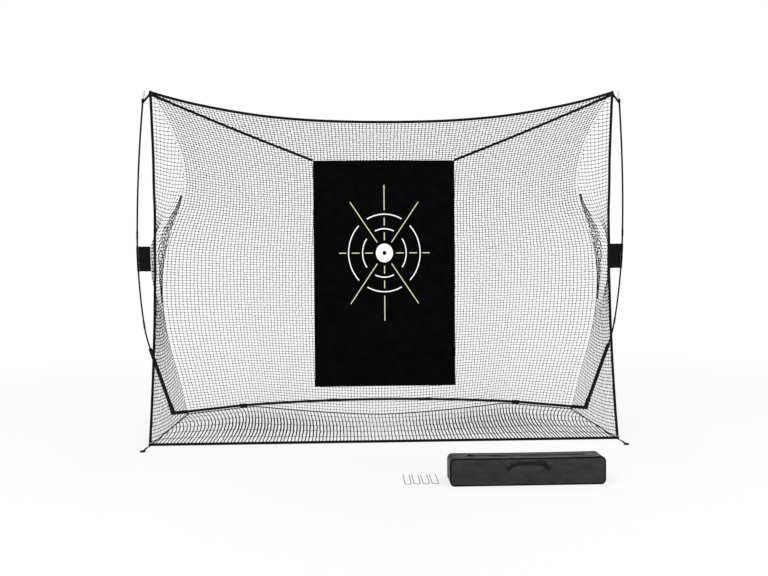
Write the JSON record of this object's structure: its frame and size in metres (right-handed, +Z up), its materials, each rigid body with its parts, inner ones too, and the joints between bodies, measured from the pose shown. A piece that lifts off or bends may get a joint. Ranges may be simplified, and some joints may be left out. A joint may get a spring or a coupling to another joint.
{
  "type": "golf practice net",
  "caption": "Bow-frame golf practice net: folding steel base, sprung fibreglass poles, knotted catch net and a hanging target sheet, with ground stakes and a carry bag.",
  "frame": {"origin": "middle of the net's front bottom edge, on the floor", "axes": "+X to the right as seen by the player, +Y from the open front towards the back, +Z up"},
  "size_m": [3.6294, 2.7133, 2.3403],
  "materials": {
    "powder_coat": "satin black powder coat",
    "zinc": "bright zinc plate",
    "ferrule_steel": "dark steel tube",
    "black_nylon": "moulded nylon, fine texture",
    "pale_vinyl": "soft dipped vinyl",
    "tab_fabric": "coated oxford weave",
    "fibreglass": "pultruded rod, smooth",
    "net_twine": "knotted polyester twine",
    "target_fabric": "heavy woven sheet with printed rings",
    "galvanised": "galvanised wire",
    "bag_fabric": "ripstop oxford",
    "zip_metal": "nickel plate",
    "zip_tape": "coil zip on woven tape",
    "webbing": "woven polypropylene webbing"
  },
  "bodies": {
    "root": {"base_centre_tube": "powder_coat", "base_left_tube": "powder_coat", "base_right_tube": "powder_coat", "base_joint_sleeves": "powder_coat", "left_button_spring": "zinc", "right_button_spring": "zinc", "hinge_clevises": "powder_coat", "hinge_pins": "zinc", "net_back_upper": "net_twine", "net_back_middle": "net_twine", "net_back_lower": "net_twine", "net_left_side": "net_twine", "net_right_side": "net_twine", "net_floor": "net_twine", "top_border": "webbing", "left_front_border": "webbing", "right_front_border": "webbing", "bottom_border": "webbing", "floor_side_borders": "webbing", "seam_cords": "webbing", "rear_floor_cord": "webbing", "corner_patches": "webbing", "corner_anchors": "black_nylon", "target_straps": "webbing", "ground_stakes": "galvanised", "carry_bag": "bag_fabric", "bag_handles": "webbing", "bag_zip_track": "zip_tape"},
    "left_arm": {"left_hinge_tongue": "powder_coat", "left_arm_tube": "powder_coat", "left_end_bracket": "black_nylon", "left_bracket_bolts": "zinc", "left_socket_tube": "powder_coat", "left_socket_bushes": "black_nylon", "left_pole_lower": "fibreglass", "left_pole_middle": "fibreglass", "left_pole_upper": "fibreglass", "left_pole_ferrules": "ferrule_steel", "left_pole_cap": "pale_vinyl", "left_pole_tab": "tab_fabric", "left_corner_loop": "webbing", "left_rear_strap": "webbing"},
    "right_arm": {"right_hinge_tongue": "powder_coat", "right_arm_tube": "powder_coat", "right_end_bracket": "black_nylon", "right_bracket_bolts": "zinc", "right_socket_tube": "powder_coat", "right_socket_bushes": "black_nylon", "right_pole_lower": "fibreglass", "right_pole_middle": "fibreglass", "right_pole_upper": "fibreglass", "right_pole_ferrules": "ferrule_steel", "right_pole_cap": "pale_vinyl", "right_pole_tab": "tab_fabric", "right_corner_loop": "webbing", "right_rear_strap": "webbing"},
    "target": {"target_sheet": "target_fabric"},
    "left_button": {"left_snap_button": "zinc"},
    "right_button": {"right_snap_button": "zinc"},
    "zip_slider": {"bag_zip_slider": "zip_metal"}
  },
  "joints": [
    {"name": "left_arm_fold", "type": "hinge", "parent": "root", "child": "left_arm", "pos_m": [-1.18, 1.41, 0.014], "axis": [0, 0, 1], "range_deg": [0, 30], "deforming": ["net_left_side", "left_front_border", "net_back_upper", "net_back_middle", "net_back_lower", "net_floor", "top_border", "floor_side_borders", "seam_cords", "rear_floor_cord", "corner_patches", "target_straps"]},
    {"name": "right_arm_fold", "type": "hinge", "parent": "root", "child": "right_arm", "pos_m": [1.18, 1.41, 0.014], "axis": [0, 0, -1], "range_deg": [0, 30], "deforming": ["net_right_side", "right_front_border"]},
    {"name": "target_swing", "type": "hinge", "parent": "root", "child": "target", "pos_m": [0, 0.08, 1.886], "axis": [1, 0, 0], "range_deg": [-20, 20]},
    {"name": "left_button_press", "type": "slide", "parent": "root", "child": "left_button", "axis": [0, 0, -1], "range_m": [0, 0.004], "stiffness_N_per_m": 600, "springref_m": -0.002, "deforming": ["left_button_spring"]},
    {"name": "right_button_press", "type": "slide", "parent": "root", "child": "right_button", "axis": [0, 0, -1], "range_m": [0, 0.004], "stiffness_N_per_m": 600, "springref_m": -0.002, "deforming": ["right_button_spring"]},
    {"name": "zip_slide", "type": "slide", "parent": "root", "child": "zip_slider", "axis": [1, 0, 0], "range_m": [0, 0.6]}
  ]
}
